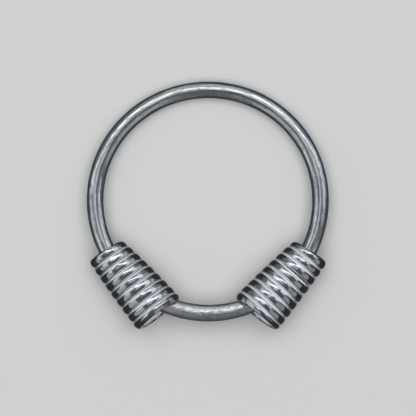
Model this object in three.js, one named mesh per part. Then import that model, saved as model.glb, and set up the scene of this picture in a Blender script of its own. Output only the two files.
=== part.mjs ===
// A spiral bracelet: a closed hoop of round silver wire with two conical coils of D-shaped
// wire threaded on it, mirror images of each other. It lies on its side, so the far side of the
// hoop and the bellies of both coils touch the ground. Millimetres, +Z up, +Y away from the coils.
import * as THREE from 'three';

const hoopSize = {
  innerDiameter: 60,
  wireDiameter: 4.8,
  sides: 12,        // flats round the wire
  steps: 64,        // lengths round the hoop
  leanDegrees: 4.9,  // how far the coils lift the near side
};

const coilSize = {
  length: 24.9,
  narrowSlant: 1.4,   // how far the narrow end draws back on the side towards the hoop's middle
  wideSlant: 0.8,     // how far the wide end draws back on the side away from it
  narrowRadius: 5.75, // outside, at the end that faces away from the other coil
  middleRadius: 7.15,
  wideRadius: 7.95,   // outside, at the end that faces the other coil
  pitch: 2.71,
  lastGroove: 22,     // where the last groove crosses the top, from the narrow end
  stripThickness: 1.15,
  sideShare: 0.3,     // how much of that thickness is upright side; the rest is crown
  turnGap: 0.1,       // daylight between neighbouring turns
  tipWidth: 0.5,      // the strip tapers to this where the coil starts and ends
  tipThickness: 0.6,
  wholeTurns: 9,
  narrowTipDegrees: 161, // where the strip starts, from the top towards the hoop's middle
  wideTipDegrees: 217,   // where it stops
  stepsPerTurn: 24,
  crownSegments: 3,   // pairs of flats across the round side of the strip
};

// Where each coil's middle lies, as a place round the hoop and a distance from its centre, which
// way its axis points from the narrow end to the wide end, and how far it tips up out of the
// hoop's own plane. hand is 1 for a left-handed winding and -1 for a right-handed one.
const coilPlaces = [
  {
    name: 'left_coil', hand: 1, roundDegrees: 227.1, fromCentre: 31.85, axisDegrees: -49.4,
    tipUpDegrees: 2.4,
  },
  {
    name: 'right_coil', hand: -1, roundDegrees: 312.85, fromCentre: 31.85, axisDegrees: 228.3,
    tipUpDegrees: 0.7,
  },
];

const radians = THREE.MathUtils.degToRad;
const silver = { color: 0xd6d8da, roughness: 0.22, metalness: 1 };

function silverMesh(name, geometry) {
  const mesh = new THREE.Mesh(geometry, new THREE.MeshStandardMaterial(silver));
  mesh.name = name;
  return mesh;
}

// A ring of round wire: the closed profile of the wire turned about the hoop's own axis.
function hoopGeometry() {
  const wireRadius = hoopSize.wireDiameter / 2;
  const ringRadius = hoopSize.innerDiameter / 2 + wireRadius;
  const profile = [];
  for (let i = 0; i <= hoopSize.sides; i += 1) {
    const angle = (2 * Math.PI * i) / hoopSize.sides;
    profile.push(new THREE.Vector2(
      ringRadius + wireRadius * Math.cos(angle),
      wireRadius * Math.sin(angle),
    ));
  }
  return new THREE.LatheGeometry(profile, hoopSize.steps).rotateX(Math.PI / 2);
}

// Outside radius of a coil at a distance from its narrow end: a cone that eases near the wide end.
function coilRadius(along) {
  const share = along / coilSize.length;
  const { narrowRadius, middleRadius, wideRadius } = coilSize;
  const easing = middleRadius - (narrowRadius + wideRadius) / 2;
  return narrowRadius + (wideRadius - narrowRadius) * share + 4 * easing * share * (1 - share);
}

// A straight D-shaped bar, one unit long, with its crown up and its flat side at the bottom.
function dShapedBar(steps) {
  const side = coilSize.sideShare;
  const section = new THREE.Shape();
  section.moveTo(0.5, 0);
  section.lineTo(0.5, side);
  section.absellipse(0, side, 0.5, 1 - side, 0, Math.PI, false);
  section.lineTo(-0.5, 0);
  section.closePath();
  return new THREE.ExtrudeGeometry(section, {
    depth: 1, steps, bevelEnabled: false, curveSegments: coilSize.crownSegments,
  });
}

// The bar wound into a coil along +X, narrow end first, with the flat side in. Both ends of the
// coil are a little aslant and the strip narrows underneath to fit them. hand mirrors it in Y.
function coilGeometry(hand) {
  const { length, pitch, turnGap, tipWidth, tipThickness, stripThickness } = coilSize;
  const turns = coilSize.wholeTurns + (coilSize.wideTipDegrees - coilSize.narrowTipDegrees) / 360;
  const bar = dShapedBar(Math.round(turns * coilSize.stepsPerTurn));
  const place = bar.attributes.position;
  for (let i = 0; i < place.count; i += 1) {
    const share = hand > 0 ? 1 - place.getZ(i) : place.getZ(i);
    const angle = radians(coilSize.wideTipDegrees) + 2 * Math.PI * turns * (share - 1);
    const groove = coilSize.lastGroove + (pitch * angle) / (2 * Math.PI);
    const coilStart = (coilSize.narrowSlant * (1 + Math.sin(angle))) / 2;
    const coilStop = length - (coilSize.wideSlant * (1 - Math.sin(angle))) / 2;
    const low = Math.max(groove, coilStart);
    const high = Math.min(groove + pitch, coilStop);
    const width = Math.max(high - low - turnGap, tipWidth);
    const along = (low + high) / 2 + place.getX(i) * width;
    const fullness = (width - tipWidth) / (pitch - turnGap - tipWidth);
    const thickness = tipThickness + (stripThickness - tipThickness) * Math.sqrt(fullness);
    const radius = coilRadius((low + high) / 2) - stripThickness + place.getY(i) * thickness;
    place.setXYZ(
      i,
      along - length / 2,
      hand * radius * Math.sin(angle),
      radius * Math.cos(angle),
    );
  }
  return bar;
}

function placedCoil({ name, hand, roundDegrees, fromCentre, axisDegrees, tipUpDegrees }) {
  const coil = silverMesh(name, coilGeometry(hand));
  coil.rotation.y = radians(-tipUpDegrees);
  const holder = new THREE.Group();
  const round = radians(roundDegrees);
  holder.position.set(fromCentre * Math.cos(round), fromCentre * Math.sin(round), 0);
  holder.rotation.z = radians(axisDegrees);
  holder.add(coil);
  return holder;
}

// The bracelet in its own plane, then leant back on the coils and set down on the ground.
const bracelet = new THREE.Group();
bracelet.add(silverMesh('hoop', hoopGeometry()));
coilPlaces.forEach((place) => bracelet.add(placedCoil(place)));
bracelet.rotation.x = radians(-hoopSize.leanDegrees);

const model = new THREE.Group();
model.add(bracelet);
model.updateMatrixWorld(true);
const box = new THREE.Box3().setFromObject(model, true);
const centre = box.getCenter(new THREE.Vector3());
bracelet.position.set(-centre.x, -centre.y, -box.min.z);

export default model;
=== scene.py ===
import bpy
import math
import random
from mathutils import Matrix, Vector


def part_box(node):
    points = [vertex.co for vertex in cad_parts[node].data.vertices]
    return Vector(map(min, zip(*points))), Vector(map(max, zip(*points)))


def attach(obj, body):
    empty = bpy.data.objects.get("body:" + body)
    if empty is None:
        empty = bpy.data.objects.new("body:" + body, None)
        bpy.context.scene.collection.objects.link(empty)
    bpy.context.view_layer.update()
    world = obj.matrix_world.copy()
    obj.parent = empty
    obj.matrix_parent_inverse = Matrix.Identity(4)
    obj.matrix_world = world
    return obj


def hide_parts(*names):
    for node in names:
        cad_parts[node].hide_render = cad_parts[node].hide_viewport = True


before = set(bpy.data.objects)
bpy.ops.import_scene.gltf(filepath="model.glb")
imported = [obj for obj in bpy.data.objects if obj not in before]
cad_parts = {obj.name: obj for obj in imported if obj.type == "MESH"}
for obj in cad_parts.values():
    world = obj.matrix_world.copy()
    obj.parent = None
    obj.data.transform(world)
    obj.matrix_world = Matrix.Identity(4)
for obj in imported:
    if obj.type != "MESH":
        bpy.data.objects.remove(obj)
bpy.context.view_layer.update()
print("frame loaded:", sorted(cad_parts))

mm = 0.001              # sizes below are in millimetres, the scene is in metres


def easeBetween(low, high, value):
    share = min(max((value - low) / (high - low), 0.0), 1.0)
    return share * share * (3 - 2 * share)


def mixOf(first, second, share):
    return first + (second - first) * share


def meshObject(name, points, faces):
    mesh = bpy.data.meshes.new(name)
    mesh.from_pydata(points, [], faces)
    mesh.validate()
    mesh.shade_smooth()
    piece = bpy.data.objects.new(name, mesh)
    bpy.context.scene.collection.objects.link(piece)
    return piece


def addPlaces(piece, name, values):
    # a vector for each point, which the material reads to follow the wire
    attribute = piece.data.attributes.new(name, "FLOAT_VECTOR", "POINT")
    attribute.data.foreach_set("vector", [number for value in values for number in value])


def newMaterial(name):
    material = bpy.data.materials.new(name)
    material.use_nodes = True
    material.node_tree.nodes.clear()
    return material, material.node_tree.nodes, material.node_tree.links


def addOutput(nodes, links, shader):
    output = nodes.new("ShaderNodeOutputMaterial")
    links.new(shader.outputs[0], output.inputs["Surface"])


def readPlaces(nodes, name):
    # the vector that addPlaces wrote
    place = nodes.new("ShaderNodeAttribute")
    place.attribute_name = name
    return place.outputs["Vector"]


def splitVector(nodes, links, vector):
    split = nodes.new("ShaderNodeSeparateXYZ")
    links.new(vector, split.inputs[0])
    return split.outputs


def addMath(nodes, links, operation, first, second=0.0, clamp=False):
    node = nodes.new("ShaderNodeMath")
    node.operation = operation
    node.use_clamp = clamp
    for socket, value in zip(node.inputs, (first, second)):
        if isinstance(value, (int, float)):
            socket.default_value = value
        else:
            links.new(value, socket)
    return node.outputs[0]


def addRange(nodes, links, value, fromLow, fromHigh, toLow, toHigh):
    node = nodes.new("ShaderNodeMapRange")
    node.inputs["From Min"].default_value = fromLow
    node.inputs["From Max"].default_value = fromHigh
    node.inputs["To Min"].default_value = toLow
    node.inputs["To Max"].default_value = toHigh
    links.new(value, node.inputs["Value"])
    return node.outputs["Result"]


def addNoise(nodes, links, vector, scale, detail, roughness, fourth=None):
    node = nodes.new("ShaderNodeTexNoise")
    if fourth is not None:
        node.noise_dimensions = "4D"
        links.new(fourth, node.inputs["W"])
    node.inputs["Scale"].default_value = scale
    node.inputs["Detail"].default_value = detail
    node.inputs["Roughness"].default_value = roughness
    links.new(vector, node.inputs["Vector"])
    return node.outputs["Fac"]


def addStretchedNoise(nodes, links, spot, stretch, scale, detail, roughness):
    node = nodes.new("ShaderNodeVectorMath")
    node.operation = "MULTIPLY"
    node.inputs[1].default_value = stretch
    links.new(spot, node.inputs[0])
    return addNoise(nodes, links, node.outputs[0], scale, detail, roughness)


def addColourMix(nodes, links, share, first, second):
    node = nodes.new("ShaderNodeMix")
    node.data_type = "RGBA"
    for socket, value in zip((node.inputs[6], node.inputs[7]), (first, second)):
        if isinstance(value, tuple):
            socket.default_value = value
        else:
            links.new(value, socket)
    links.new(share, node.inputs[0])
    return node.outputs[2]


def addBump(nodes, links, height, strength, depth, under=None):
    node = nodes.new("ShaderNodeBump")
    node.inputs["Strength"].default_value = strength
    node.inputs["Distance"].default_value = depth * mm
    links.new(height, node.inputs["Height"])
    if under is not None:
        links.new(under, node.inputs["Normal"])
    return node.outputs["Normal"]


# the hoop: drawn round wire, closed, worn to a soft polish
hoop = {
    "wireDiameter": 4.8,
    "steps": 400,
    "sides": 48,
    "startDegrees": 226.9,         # where lengths along the wire are counted from, under the left coil
    "leanDegrees": -4.9,           # the coils lift the near side
    "trim": 0.15,                  # how much smaller than a true ring it is, to leave room for the bends
    "bends": [(1, 0.17, 94), (2, 0.09, -4), (3, 0.095, 39)],    # times round, how far, where (degrees)
    "wireShare": 0.993,            # how thick the wire is on the whole, against its diameter
    "wireWaver": [(7, 0.004, 0), (12, 0.003, 1)],    # times round, how much, shift
    "silver": (0.91, 0.94, 0.98, 1),
    "tarnish": (0.53, 0.57, 0.63, 1),
    "tarnishRange": (0.25, 0.36),  # streaks times mottle where the tarnish starts and is full
    "roughness": (0.12, 0.24),
    "roughnessRange": (0.35, 0.7),    # mottle where it is smoothest and dullest
    "frost": (0.03, 0.06),         # how much less metallic it is: everywhere, and where it is rubbed
    "rubbedStretch": (6, 46),      # where the coils rub it, along the wire
    "rubbedFade": 4,
    "rubbedFurrows": 2.0,          # how much deeper the furrows are there
    # a dark line painted along the top of the wire is painted reflection: it stands in for the dark room
    # overhead mirrored there
    "paintedReflectionLine": (-0.48, 0.07, 0.21),    # painted dark reflection of the room overhead, along the top of the wire: how far outward, half width, where it fades out
    "paintedReflectionUpward": (0.5, 1.5),    # heights on the wire between which it appears
    "paintedReflectionStreaks": (0.35, 0.6),  # streaks where it is faint and full
    "paintedReflectionFaint": 0.45,
    "paintedReflectionColour": (0.24, 0.26, 0.30, 1),
    # noise: how drawn out along the wire, scale, detail, roughness
    "streaks": (0.05, 3.0, 3.0, 0.65),
    "mottle": (0.4, 1.5, 4.0, 0.6),
    "dents": (0.25, 0.4, 2.0, 0.5),
    "dentBump": (0.3, 1.0),        # strength, depth
    "furrowBump": (0.6, 0.09),
}

hoopLow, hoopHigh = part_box("hoop")
hoopMiddle = (hoopLow + hoopHigh) / 2
lean = math.radians(hoop["leanDegrees"])
braceletPlace = Matrix.Translation(hoopMiddle) @ Matrix.Rotation(lean, 4, "X")
ringRadius = (hoopHigh.x - hoopLow.x) / 2 / mm - hoop["wireDiameter"] / 2


def buildHoop():
    points, places, faces = [], [], []
    steps, sides = hoop["steps"], hoop["sides"]
    wireRadius = hoop["wireDiameter"] / 2
    for i in range(steps):
        turn = math.radians(hoop["startDegrees"]) + 2 * math.pi * i / steps
        ring = ringRadius - hoop["trim"]
        for times, reach, where in hoop["bends"]:
            ring += reach * math.cos(times * (turn - math.radians(where)))
        wireShare = hoop["wireShare"]
        for times, amount, shift in hoop["wireWaver"]:
            wireShare += amount * math.sin(times * turn + shift)
        wire = wireRadius * wireShare
        for j in range(sides):
            side = 2 * math.pi * j / sides
            reach = ring + wire * math.cos(side)
            points.append(braceletPlace @ Vector((
                reach * math.cos(turn) * mm,
                reach * math.sin(turn) * mm,
                wire * math.sin(side) * mm,
            )))
            # outward and upward on the wire, and the length along it
            places.append((
                wireRadius * math.cos(side),
                wireRadius * math.sin(side),
                ringRadius * 2 * math.pi * i / steps,
            ))
            nextRing = (i + 1) % steps * sides
            nextSide = (j + 1) % sides
            faces.append((i * sides + j, nextRing + j, nextRing + nextSide, i * sides + nextSide))
    piece = meshObject("hoop_wire", points, faces)
    addPlaces(piece, "wirePlace", places)
    return piece


def addRoundNoise(nodes, links, place, drawnOut, scale, detail, roughness):
    # noise drawn out along the wire, which meets itself again after one time round the hoop
    turn = addMath(nodes, links, "DIVIDE", place["Z"], ringRadius)
    reach = ringRadius * drawnOut
    firstWay = addMath(nodes, links, "MULTIPLY", addMath(nodes, links, "COSINE", turn), reach)
    secondWay = addMath(nodes, links, "MULTIPLY", addMath(nodes, links, "SINE", turn), reach)
    join = nodes.new("ShaderNodeCombineXYZ")
    for socket, value in zip(join.inputs, (place["X"], place["Y"], firstWay)):
        links.new(value, socket)
    return addNoise(nodes, links, join.outputs[0], scale, detail, roughness, secondWay)


def rubbedShare(nodes, links, place):
    # 1 on the stretch that the coils rub, 0 on the rest of the hoop
    start, stop = hoop["rubbedStretch"]
    fade = hoop["rubbedFade"]
    fadeIn = addRange(nodes, links, place["Z"], start, start + fade, 0.0, 1.0)
    fadeOut = addRange(nodes, links, place["Z"], stop - fade, stop, 1.0, 0.0)
    return addMath(nodes, links, "MULTIPLY", fadeIn, fadeOut)


def paintedReflectionShare(nodes, links, place, streaks, rubbed):
    # 1 on the painted dark reflection along the top of the wire, which breaks up with the streaks and is
    # gone where the hoop is rubbed
    middle, half, end = hoop["paintedReflectionLine"]
    sideways = addMath(nodes, links, "SUBTRACT", place["X"], middle)
    distance = addMath(nodes, links, "ABSOLUTE", sideways)
    share = addRange(nodes, links, distance, half, end, 1.0, 0.0)
    for other in (
        addRange(nodes, links, place["Y"], *hoop["paintedReflectionUpward"], 0.0, 1.0),
        addRange(nodes, links, streaks, *hoop["paintedReflectionStreaks"], hoop["paintedReflectionFaint"], 1.0),
        addRange(nodes, links, rubbed, 0.0, 1.0, 1.0, 0.0),
    ):
        share = addMath(nodes, links, "MULTIPLY", share, other)
    return share


def drawnSilver():
    material, nodes, links = newMaterial("drawnSilver")
    place = splitVector(nodes, links, readPlaces(nodes, "wirePlace"))
    streaks = addRoundNoise(nodes, links, place, *hoop["streaks"])
    mottle = addRoundNoise(nodes, links, place, *hoop["mottle"])
    dents = addRoundNoise(nodes, links, place, *hoop["dents"])
    rubbed = rubbedShare(nodes, links, place)
    shader = nodes.new("ShaderNodeBsdfPrincipled")

    dullness = addMath(nodes, links, "MULTIPLY", streaks, mottle)
    tarnished = addRange(nodes, links, dullness, *hoop["tarnishRange"], 0.0, 1.0)
    colour = addColourMix(nodes, links, tarnished, hoop["silver"], hoop["tarnish"])
    # painted reflection: the top of the wire is darkened in a line, standing in for the dark room
    # overhead mirrored there
    paintedReflection = paintedReflectionShare(nodes, links, place, streaks, rubbed)
    colour = addColourMix(nodes, links, paintedReflection, colour, hoop["paintedReflectionColour"])
    links.new(colour, shader.inputs["Base Color"])

    plainFrost, rubbedFrost = hoop["frost"]
    metal = addRange(nodes, links, rubbed, 0.0, 1.0, 1 - plainFrost, 1 - rubbedFrost)
    links.new(metal, shader.inputs["Metallic"])
    roughness = addRange(nodes, links, mottle, *hoop["roughnessRange"], *hoop["roughness"])
    links.new(roughness, shader.inputs["Roughness"])

    furrowDepth = addRange(nodes, links, rubbed, 0.0, 1.0, 1.0, hoop["rubbedFurrows"])
    furrows = addMath(nodes, links, "MULTIPLY", streaks, furrowDepth)
    softDents = addBump(nodes, links, dents, *hoop["dentBump"])
    bumps = addBump(nodes, links, furrows, *hoop["furrowBump"], softDents)
    links.new(bumps, shader.inputs["Normal"])
    addOutput(nodes, links, shader)
    return material


hoopPiece = buildHoop()
hoopPiece.data.materials.append(drawnSilver())
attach(hoopPiece, "hoop")
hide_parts("hoop")
print("hoop built:", len(hoopPiece.data.polygons), "faces")


# the coils: a D-shaped strip, its crown polished and its flat side in, wound edge to edge
strip = {
    "pitch": 2.71,
    "turnGap": 0.1,
    "spread": 0.1,             # how much wider than usual it may be hammered
    "thickness": 1.02,
    "crownRadius": 2.4,        # how gently the crown is rounded
    "shoulderRadius": 0.6,     # the crown turns down to the sides with this
    "crownRows": 9,
    "shoulderRows": 5,
    "insideCorner": (0.03, 0.1),    # how the edge of the flat inside is broken, up and across
    "insideFrost": 0.8,
    "tipWidth": 0.5,
    "tipThickness": 0.6,
    "stepsPerTurn": 108,
    "endRows": 5,              # rows that round off each cut end
    "endLength": 0.35,         # how far that reaches
    "endShare": 0.12,          # what is left of the section at the very end
    "trim": 0.16,              # how far inside the full radius the crown lies
}

coilShape = {
    "length": 24.9,
    "narrowSlant": 1.4,        # the narrow end draws back this much towards the hoop's middle
    "wideSlant": 0.8,          # the wide end draws back this much on the other side
    "endClearance": 0.02,      # the strip stays this far inside both ends
    "narrowRadius": 5.75,
    "middleRadius": 7.15,
    "wideRadius": 7.95,
    "turnLength": 45.0,        # one turn of the strip, roughly
    "grainRadius": 6.5,        # lengths for the scratches are counted on a turn of this radius
    "wholeTurns": 9,
    "narrowTipDegrees": 161,
    "wideTipDegrees": 236,
    "unevenTurns": 16,         # random values for each unevenness, one a turn and some to spare
    "slipFade": 0.5,           # turns over which a slip starts or stops
    "rollShift": 0.5,          # how much of a rolled strip's sideways move is kept
    "freeTurn": (0.85, 1.05),  # turns from an end where the strip meets its neighbour on that side
    "rubbed": 0.55,            # how much frost is worn off on the outermost side
    "rubbedRange": (0.8, 1.0),
    "endRounding": 0.45,       # how far the free edge of the last turn is hammered down
}

# the strip's side towards the wide end was rubbed bright, the other one kept its frost
coils = [
    {
        "name": "left_coil_strip",
        "node": "left_coil",
        "hand": 1,                 # which way it winds
        "roundDegrees": 227.1,     # where its middle sits on the hoop
        "fromCentre": 31.85,
        "axisDegrees": -49.4,      # which way its wide end points
        "tipUpDegrees": 2.4,
        "lastGroove": 22.12,       # where the last groove lies along the coil
        "wideSide": (0.9, 60, 0.2),       # half the crown's width, how steep the side is, how frosted
        "narrowSide": (0.82, 44, 1.0),
        "frostFrom": 0.2,          # frost fainter than this is polished away
        "dullness": (0.26, 0.45),  # scratches times smears where the polish starts to dull and is dull
        "slips": [],               # first turn, last turn, how far grooves moved outside and inside
        "leanDegrees": 0,          # how far the strip leans, below 0 towards the narrow end
        "wideBelly": 0.1,          # how much further the wide end reaches underneath
        "seed": 4,
        "rollDegrees": 1.6,        # how unevenly the turns lie: rolled, sunk in, shifted along
        "sink": 0.05,
        "waver": 0.05,
    },
    {
        # this one was squeezed: its outer side is pushed along, and its strip leans
        "name": "right_coil_strip",
        "node": "right_coil",
        "hand": -1,
        "roundDegrees": 312.85,
        "fromCentre": 31.85,
        "axisDegrees": 228.3,
        "tipUpDegrees": 0.7,
        "lastGroove": 21.92,
        "wideSide": (0.9, 55, 0.2),
        "narrowSide": (0.65, 40, 1.0),
        "frostFrom": 0.15,
        "dullness": (0.19, 0.38),
        "slips": [(0.0, 3.1, 0.25, -0.1), (3.1, 99, 1.0, -0.12)],
        "leanDegrees": -9,
        "wideBelly": 0.35,
        "seed": 9,
        "rollDegrees": 2.2,
        "sink": 0.06,
        "waver": 0.05,
    },
]


def coilRadius(along):
    # outside radius: a cone that eases near the wide end
    share = along / coilShape["length"]
    narrow, middle, wide = (coilShape[key] for key in ("narrowRadius", "middleRadius", "wideRadius"))
    easing = middle - (narrow + wide) / 2
    return narrow + (wide - narrow) * share + 4 * easing * share * (1 - share)


def stripSide(crownWidth, sideDegrees, frostKept):
    # (across, drop, frost) from the top of the crown round to the middle of the flat inside
    half = (strip["pitch"] - strip["turnGap"]) / 2
    crownRadius, shoulder, thickness = strip["crownRadius"], strip["shoulderRadius"], strip["thickness"]
    crownAngle = math.asin(crownWidth / crownRadius)
    side = []
    for i in range(strip["crownRows"] + 1):
        angle = crownAngle * i / strip["crownRows"]
        side.append((crownRadius * math.sin(angle), crownRadius * (1 - math.cos(angle)), 0.0))
    crownDrop = side[-1][1]
    sideAngle = math.radians(sideDegrees)
    for i in range(1, strip["shoulderRows"] + 1):
        angle = mixOf(crownAngle, sideAngle, i / strip["shoulderRows"])
        across = crownWidth + shoulder * (math.sin(angle) - math.sin(crownAngle))
        drop = crownDrop + shoulder * (math.cos(crownAngle) - math.cos(angle))
        side.append((across, drop, frostKept * i / strip["shoulderRows"]))
    across, drop, _ = side[-1]
    cornerUp, cornerAcross = strip["insideCorner"]
    edgeDrop = min(drop + (half - across) * math.tan(sideAngle), thickness - cornerAcross)
    side.append((half, edgeDrop, frostKept))
    side.append((half - cornerUp, thickness - cornerUp, strip["insideFrost"]))
    side.append((half - cornerAcross, thickness, strip["insideFrost"]))
    side.append((half / 2, thickness, strip["insideFrost"]))
    return side


def stripSection(coil):
    # (across, height, frost) round the strip: height is 1 on the crown and 0 on the flat inside
    wideSide = stripSide(*coil["wideSide"])
    narrowSide = stripSide(*coil["narrowSide"])
    whole = wideSide + [(0.0, strip["thickness"], strip["insideFrost"])]
    whole += [(-across, drop, frost) for across, drop, frost in reversed(narrowSide[1:])]
    width = strip["pitch"] - strip["turnGap"]
    return [(across / width, 1 - drop / strip["thickness"], frost) for across, drop, frost in whole]


def rowsAlong(turns):
    # (share of the winding, how much of the section is left), with both cut ends rounded off
    steps = round(turns * strip["stepsPerTurn"])
    rows = []
    for i in range(strip["endRows"]):
        angle = math.pi / 2 * i / strip["endRows"]
        back = strip["endLength"] * (1 - math.sin(angle)) / coilShape["turnLength"] / turns
        rows.append((back, math.sin(angle) if i else strip["endShare"]))
    inner = [(i / steps, 1.0) for i in range(steps + 1)]
    firstRows = [(-back, kept) for back, kept in rows]
    lastRows = [(1 + back, kept) for back, kept in reversed(rows)]
    return firstRows + inner + lastRows


def outwardShare(angle):
    # 1 on the side of a coil away from the middle of the hoop, 0 on the side towards it
    return (1 - math.sin(angle)) / 2


def atTurn(values, turn):
    # eases from one turn's value to the next turn's
    near = int(turn)
    return mixOf(values[near], values[near + 1], easeBetween(0, 1, turn - near))


def grooveAt(coil, waves, turn, angle):
    # where the groove lies along the coil, so many turns from its narrow tip
    fade = coilShape["slipFade"]
    place = coil["lastGroove"] + strip["pitch"] * angle / (2 * math.pi)
    for start, stop, outer, inner in coil["slips"]:
        share = easeBetween(start, start + fade, turn) if start else 1.0
        share *= 1 - easeBetween(stop, stop + fade, turn)
        place += share * mixOf(inner, outer, outwardShare(angle))
    return place + coil["waver"] * atTurn(waves, turn)


def stripSpan(coil, waves, turn, angle):
    # the strip's middle and width, between its two grooves and inside the slanted ends of the coil,
    # and how far it has grown from a tip to its full width
    gap, tipWidth = strip["turnGap"], strip["tipWidth"]
    fullWidth = strip["pitch"] - gap
    coilStart = coilShape["narrowSlant"] * (1 + math.sin(angle)) / 2
    coilStop = coilShape["length"] - coilShape["wideSlant"] * outwardShare(angle)
    coilStop += coil["wideBelly"] * max(-math.cos(angle), 0) ** 2
    low = max(grooveAt(coil, waves, turn, angle), coilStart)
    low = min(low, coilStop - tipWidth - gap)
    high = min(grooveAt(coil, waves, turn + 1, angle + 2 * math.pi), coilStop)
    width = max(min(high - low - gap, fullWidth + strip["spread"]), tipWidth)
    centre = low + gap / 2 + width / 2 if turn > 1 else high - gap / 2 - width / 2
    fullness = min((width - tipWidth) / (fullWidth - tipWidth), 1)
    return centre, width, fullness


def coilPlace(coil):
    around = math.radians(coil["roundDegrees"])
    reach = coil["fromCentre"] * mm
    return (
        braceletPlace
        @ Matrix.Translation((reach * math.cos(around), reach * math.sin(around), 0))
        @ Matrix.Rotation(math.radians(coil["axisDegrees"]), 4, "Z")
        @ Matrix.Rotation(math.radians(-coil["tipUpDegrees"]), 4, "Y")
    )


def stripFaces(rowCount, count, hand):
    faces = []
    for i in range(rowCount - 1):
        for j in range(count):
            nextOne = (j + 1) % count
            row, nextRow = i * count, (i + 1) * count
            faces.append((row + j, row + nextOne, nextRow + nextOne, nextRow + j))
    faces.append(tuple(range(count))[::-1])
    faces.append(tuple(range((rowCount - 1) * count, rowCount * count)))
    return faces if hand > 0 else [face[::-1] for face in faces]


def buildCoil(coil):
    random.seed(coil["seed"])
    spots = range(coilShape["unevenTurns"])
    rolls = [random.uniform(-1, 1) * math.radians(coil["rollDegrees"]) for _ in spots]
    sinks = [random.random() * coil["sink"] for _ in spots]
    waves = [random.uniform(-1, 1) for _ in spots]
    length, hand = coilShape["length"], coil["hand"]
    turns = coilShape["wholeTurns"] + (coilShape["wideTipDegrees"] - coilShape["narrowTipDegrees"]) / 360
    freeNear, freeFar = coilShape["freeTurn"]
    clearance = coilShape["endClearance"]
    grainLength = 2 * math.pi * coilShape["grainRadius"]
    section = stripSection(coil)
    rows = rowsAlong(turns)
    place = coilPlace(coil)
    points, places = [], []
    for share, kept in rows:
        turn = turns * min(max(share, 0.0), 1.0)
        angle = math.radians(coilShape["wideTipDegrees"]) + 2 * math.pi * turns * (share - 1)
        centre, width, fullness = stripSpan(coil, waves, turn, angle)
        thickness = mixOf(strip["tipThickness"], strip["thickness"], math.sqrt(fullness))
        roll = (math.radians(coil["leanDegrees"]) + atTurn(rolls, turn)) * fullness
        sink = atTurn(sinks, turn) * fullness
        inside = coilRadius(min(max(centre, 0), length)) - strip["trim"] - strip["thickness"]
        freeNarrow = 1 - easeBetween(freeNear, freeFar, turn)
        freeWide = easeBetween(turns - freeFar, turns - freeNear, turn)
        rubbed = coilShape["rubbed"] * easeBetween(*coilShape["rubbedRange"], outwardShare(angle))
        for across, height, frost in section:
            sideways = across * width * kept
            raised = (height - 0.5) * thickness * kept
            sideways, raised = (
                sideways * math.cos(roll) + raised * math.sin(roll) * coilShape["rollShift"],
                raised * math.cos(roll) - sideways * math.sin(roll),
            )
            radius = inside + thickness / 2 + raised - sink * max(height, 0)
            radius -= coilShape["endRounding"] * freeWide * max(across, 0) * 2 * max(height, 0)
            along = min(max(centre + sideways, clearance), length - clearance)
            points.append(place @ Vector((
                (along - length / 2) * mm,
                hand * radius * math.sin(angle) * mm,
                radius * math.cos(angle) * mm,
            )))
            # the length along the strip, how far across it, and how frosted
            free = freeNarrow if across < 0 else freeWide
            places.append((turn * grainLength, across * width, frost * (1 - free) * (1 - rubbed)))
    piece = meshObject(coil["name"], points, stripFaces(len(rows), len(section), hand))
    addPlaces(piece, "stripPlace", places)
    return piece


finish = {
    "polish": (0.87, 0.90, 0.94, 1),
    "shadowed": (0.56, 0.59, 0.64, 1),
    "shadowedMost": 0.8,
    "frost": (0.93, 0.95, 0.98, 1),
    "frostMetal": 0.15,            # how metallic full frost still is
    "polishRoughness": (0.07, 0.19),
    "roughnessRange": (0.3, 0.7),  # smears where it is smoothest and dullest
    "frostRoughness": 0.42,
    # noise: how it is stretched along and across the strip, scale, detail, roughness
    "scratches": ((0.12, 1, 0), 5.0, 3.0, 0.65),
    "smears": ((0.5, 1, 0), 1.1, 4.0, 0.6),
    "dents": ((0.6, 0.8, 0), 0.5, 2.0, 0.5),
    "dentBump": (0.3, 1.0),        # strength, depth
    "scratchBump": (0.2, 0.06),
}


def coilSilver(coil):
    material, nodes, links = newMaterial(coil["node"] + "_silver")
    spot = readPlaces(nodes, "stripPlace")
    place = splitVector(nodes, links, spot)
    scratches = addStretchedNoise(nodes, links, spot, *finish["scratches"])
    smears = addStretchedNoise(nodes, links, spot, *finish["smears"])
    dents = addStretchedNoise(nodes, links, spot, *finish["dents"])
    frosted = addRange(nodes, links, place["Z"], coil["frostFrom"], 1.0, 0.0, 1.0)
    shader = nodes.new("ShaderNodeBsdfPrincipled")

    dullness = addMath(nodes, links, "MULTIPLY", scratches, smears)
    shadowed = addRange(nodes, links, dullness, *coil["dullness"], 0.0, finish["shadowedMost"])
    polished = addColourMix(nodes, links, shadowed, finish["polish"], finish["shadowed"])
    colour = addColourMix(nodes, links, frosted, polished, finish["frost"])
    links.new(colour, shader.inputs["Base Color"])
    metal = addRange(nodes, links, frosted, 0.0, 1.0, 1.0, finish["frostMetal"])
    links.new(metal, shader.inputs["Metallic"])

    smooth, dull = finish["polishRoughness"]
    polishRoughness = addRange(nodes, links, smears, *finish["roughnessRange"], smooth, dull)
    frostExtra = addMath(nodes, links, "MULTIPLY", frosted, finish["frostRoughness"] - smooth)
    roughness = addMath(nodes, links, "ADD", polishRoughness, frostExtra, clamp=True)
    links.new(roughness, shader.inputs["Roughness"])
    softDents = addBump(nodes, links, dents, *finish["dentBump"])
    bumps = addBump(nodes, links, scratches, *finish["scratchBump"], softDents)
    links.new(bumps, shader.inputs["Normal"])
    addOutput(nodes, links, shader)
    return material


for coil in coils:
    coilPiece = buildCoil(coil)
    coilPiece.data.materials.append(coilSilver(coil))
    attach(coilPiece, coil["node"])
    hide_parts(coil["node"])
    print(coil["name"], "built:", len(coilPiece.data.polygons), "faces")


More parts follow.
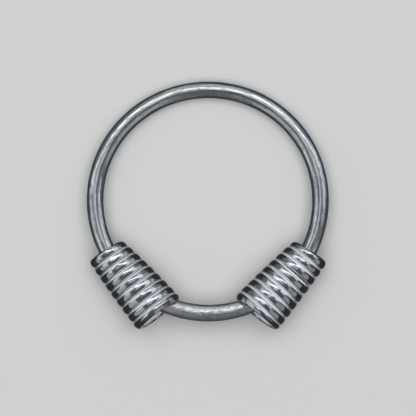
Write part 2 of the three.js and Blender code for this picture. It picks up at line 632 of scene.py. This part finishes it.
# the floor: a wide pale dish in metres, so that it also closes the view behind the bracelet
floor = {
    "centreRadius": 0.4,
    "flatRadius": 2.6,
    "rimRadius": 0.9,
    "rimSteps": 14,
    "wallHeight": 2.4,
    "sides": 96,
    "colour": (0.40, 0.40, 0.394, 1),
    "roughness": 0.7,
    "grain": (900.0, 2.0, 0.5),    # noise: scale, detail, roughness
    "grainBump": (0.05, 0.2),
}


def buildFloor():
    profile = [(floor["centreRadius"], 0.0), (floor["flatRadius"], 0.0)]
    for i in range(1, floor["rimSteps"] + 1):
        angle = math.pi / 2 * i / floor["rimSteps"]
        profile.append((
            floor["flatRadius"] + floor["rimRadius"] * math.sin(angle),
            floor["rimRadius"] * (1 - math.cos(angle)),
        ))
    profile.append((profile[-1][0], floor["wallHeight"]))
    points = [(0.0, 0.0, 0.0)]
    faces = []
    sides = floor["sides"]
    for reach, height in profile:
        for j in range(sides):
            angle = 2 * math.pi * j / sides
            points.append((reach * math.cos(angle), reach * math.sin(angle), height))
    for j in range(sides):
        faces.append((0, 1 + j, 1 + (j + 1) % sides))
    for i in range(len(profile) - 1):
        for j in range(sides):
            nextSide = (j + 1) % sides
            row, nextRow = 1 + i * sides, 1 + (i + 1) * sides
            faces.append((row + j, nextRow + j, nextRow + nextSide, row + nextSide))
    piece = meshObject("floor", points, faces)
    piece.visible_glossy = False    # the silver mirrors a dark ground instead
    piece.visible_diffuse = False   # and takes no light thrown back from this one
    return piece


def floorPaint():
    material, nodes, links = newMaterial("floorPaint")
    coordinates = nodes.new("ShaderNodeTexCoord")
    grain = addNoise(nodes, links, coordinates.outputs["Object"], *floor["grain"])
    shader = nodes.new("ShaderNodeBsdfPrincipled")
    shader.inputs["Base Color"].default_value = floor["colour"]
    shader.inputs["Roughness"].default_value = floor["roughness"]
    links.new(addBump(nodes, links, grain, *floor["grainBump"]), shader.inputs["Normal"])
    addOutput(nodes, links, shader)
    return material


floorPiece = buildFloor()
floorPiece.data.materials.append(floorPaint())
print("floor laid")


# the studio: soft boxes behind and beside the bracelet, and a dim room in front and overhead;
# angles in degrees, sizes in metres
lamps = [
    {"name": "backTop", "azimuth": 88, "up": 57, "away": 1.3, "wide": 1.5, "high": 0.42, "glow": 1.15},
    {"name": "backLeft", "azimuth": 140, "up": 42, "away": 1.3, "wide": 0.8, "high": 0.42, "glow": 0.54},
    {"name": "backRight", "azimuth": 56, "up": 36, "away": 1.3, "wide": 0.7, "high": 0.5, "glow": 0.36},
    {"name": "overhead", "azimuth": 110, "up": 79, "away": 1.3, "wide": 0.8, "high": 0.4, "glow": 0.34},
    {"name": "backLow", "azimuth": 92, "up": 20, "away": 1.5, "wide": 0.9, "high": 0.8, "glow": 0.24},
    {"name": "leftPanel", "azimuth": 178, "up": 31, "away": 1.3, "wide": 0.9, "high": 0.75, "glow": 0.41},
    {"name": "rightPanel", "azimuth": 20, "up": 36, "away": 1.3, "wide": 0.75, "high": 0.5, "glow": 0.60},
    {"name": "rightLow", "azimuth": 22, "up": 9, "away": 1.5, "wide": 0.8, "high": 0.5, "glow": 0.30},
    {"name": "frontLeft", "azimuth": 219, "up": 27, "away": 1.4, "wide": 1.2, "high": 1.2, "glow": 0.25},
    {"name": "frontRight", "azimuth": -39, "up": 27, "away": 1.4, "wide": 1.2, "high": 1.2, "glow": 0.20},
]

studio = {
    "glowToWatts": math.pi,    # an area lamp's power for one unit of brightness per square metre
    "lampColour": (0.97, 0.985, 1.0),
    "fillWatts": 35.0,
    "fill": {
        "name": "topFill", "azimuth": 90, "up": 89.9, "away": 1.4,
        "wide": 1.6, "high": 1.6, "glow": 0.0,
    },
    "roomColour": (0.93, 0.96, 1.0, 1),
    "ground": 0.028,           # brightness below the horizon
    "underneath": 0.18,        # and straight down, where silver mirrors the floor it stands on
    "underneathFrom": -0.85,   # how far down that starts, with -1 straight down
    "horizon": 0.06,           # at the horizon in front, and how much is added overhead and behind
    "overhead": 0.03,
    "behind": 0.11,
    "horizonBlur": 0.03,
}


def addLamp(name, azimuth, up, away, wide, high, glow):
    data = bpy.data.lights.new(name, "AREA")
    data.shape = "RECTANGLE"
    data.size = wide
    data.size_y = high
    data.energy = glow * wide * high * studio["glowToWatts"]
    data.color = studio["lampColour"]
    lamp = bpy.data.objects.new(name, data)
    turn, rise = math.radians(azimuth), math.radians(up)
    direction = Vector((math.cos(turn) * math.cos(rise), math.sin(turn) * math.cos(rise), math.sin(rise)))
    lamp.location = direction * away
    lamp.rotation_euler = direction.to_track_quat("Z", "Y").to_euler()
    lamp.visible_camera = False
    bpy.context.scene.collection.objects.link(lamp)
    return lamp


for lamp in lamps:
    addLamp(**lamp)

fillLamp = addLamp(**studio["fill"])
fillLamp.data.energy = studio["fillWatts"]
fillLamp.visible_glossy = False    # it lifts the floor and the frost, and isn't mirrored


def buildWorld():
    world = bpy.data.worlds.new("studioRoom")
    bpy.context.scene.world = world
    world.use_nodes = True
    nodes, links = world.node_tree.nodes, world.node_tree.links
    nodes.clear()
    coordinates = nodes.new("ShaderNodeTexCoord")
    way = splitVector(nodes, links, coordinates.outputs["Generated"])
    upward, backward = way["Z"], way["Y"]
    zenith = studio["horizon"] + studio["overhead"]
    underneath, startsAt = studio["underneath"], studio["underneathFrom"]
    blur = studio["horizonBlur"]
    overhead = addRange(nodes, links, upward, 0, 1, studio["horizon"], zenith)
    behind = addRange(nodes, links, backward, 0, 1, 0, studio["behind"])
    sky = addMath(nodes, links, "ADD", overhead, behind)
    ground = addRange(nodes, links, upward, startsAt, -1, studio["ground"], underneath)
    aboveGround = addRange(nodes, links, upward, -blur, blur, 0, 1)
    belowGround = addMath(nodes, links, "SUBTRACT", 1, aboveGround)
    skyShare = addMath(nodes, links, "MULTIPLY", sky, aboveGround)
    groundShare = addMath(nodes, links, "MULTIPLY", belowGround, ground)
    background = nodes.new("ShaderNodeBackground")
    background.inputs["Color"].default_value = studio["roomColour"]
    brightness = addMath(nodes, links, "ADD", skyShare, groundShare)
    links.new(brightness, background.inputs["Strength"])
    output = nodes.new("ShaderNodeOutputWorld")
    links.new(background.outputs[0], output.inputs["Surface"])


buildWorld()
bpy.context.scene.view_settings.view_transform = "Standard"
print("lights set")


# the camera: straight above, the hoop a little above the middle of the frame; in metres
camera = {
    "away": 0.9,
    "frameWidth": 0.1194,      # what the frame spans at the bracelet
    "sensor": 36.0,            # this one in millimetres
    "aimY": -0.00089,
    "sees": (0.05, 20),
}


def addCamera():
    data = bpy.data.cameras.new("topCamera")
    data.sensor_width = camera["sensor"]
    data.lens = camera["sensor"] * camera["away"] / camera["frameWidth"]
    data.clip_start, data.clip_end = camera["sees"]
    eye = bpy.data.objects.new("topCamera", data)
    eye.location = (0.0, camera["aimY"], hoopMiddle.z + camera["away"])
    bpy.context.scene.collection.objects.link(eye)
    bpy.context.scene.camera = eye


addCamera()
print("camera set")
